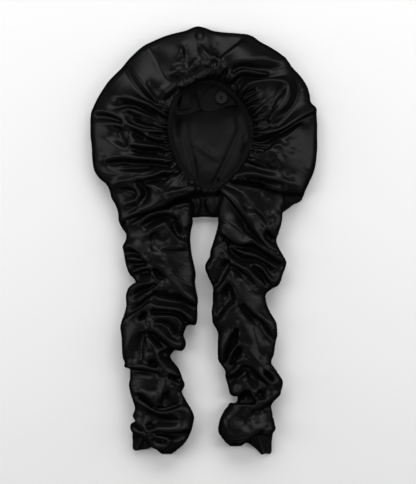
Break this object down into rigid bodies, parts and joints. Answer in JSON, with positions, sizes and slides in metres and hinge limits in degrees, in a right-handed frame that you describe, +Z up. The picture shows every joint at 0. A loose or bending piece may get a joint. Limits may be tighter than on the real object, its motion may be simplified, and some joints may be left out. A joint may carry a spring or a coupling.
{
  "type": "satin braid bonnet with two ruched sleeves",
  "caption": "Gathered black satin sleep bonnet lying on its back, face opening with elastic band and button, with long ruched sleeves that hold braids.",
  "frame": {"origin": "on the surface that the bonnet lies on, below the middle of its outline", "axes": "+Z up out of the surface and out of the face opening, +Y towards the crown, the sleeves run to -Y"},
  "size_m": [0.3411, 0.6435, 0.0534],
  "materials": {
    "satin": "smooth black satin with soft broad highlights",
    "elastic": "matte black knitted elastic",
    "button_plastic": "black polyester button, polished rim",
    "thread": "black sewing thread"
  },
  "bodies": {
    "root": {"cap": "satin", "face_band": "elastic", "button_flap": "elastic", "button": "button_plastic", "button_thread": "thread", "sleeve_left": "satin", "sleeve_right": "satin", "end_frill_left": "satin", "end_frill_right": "satin"}
  },
  "joints": []
}
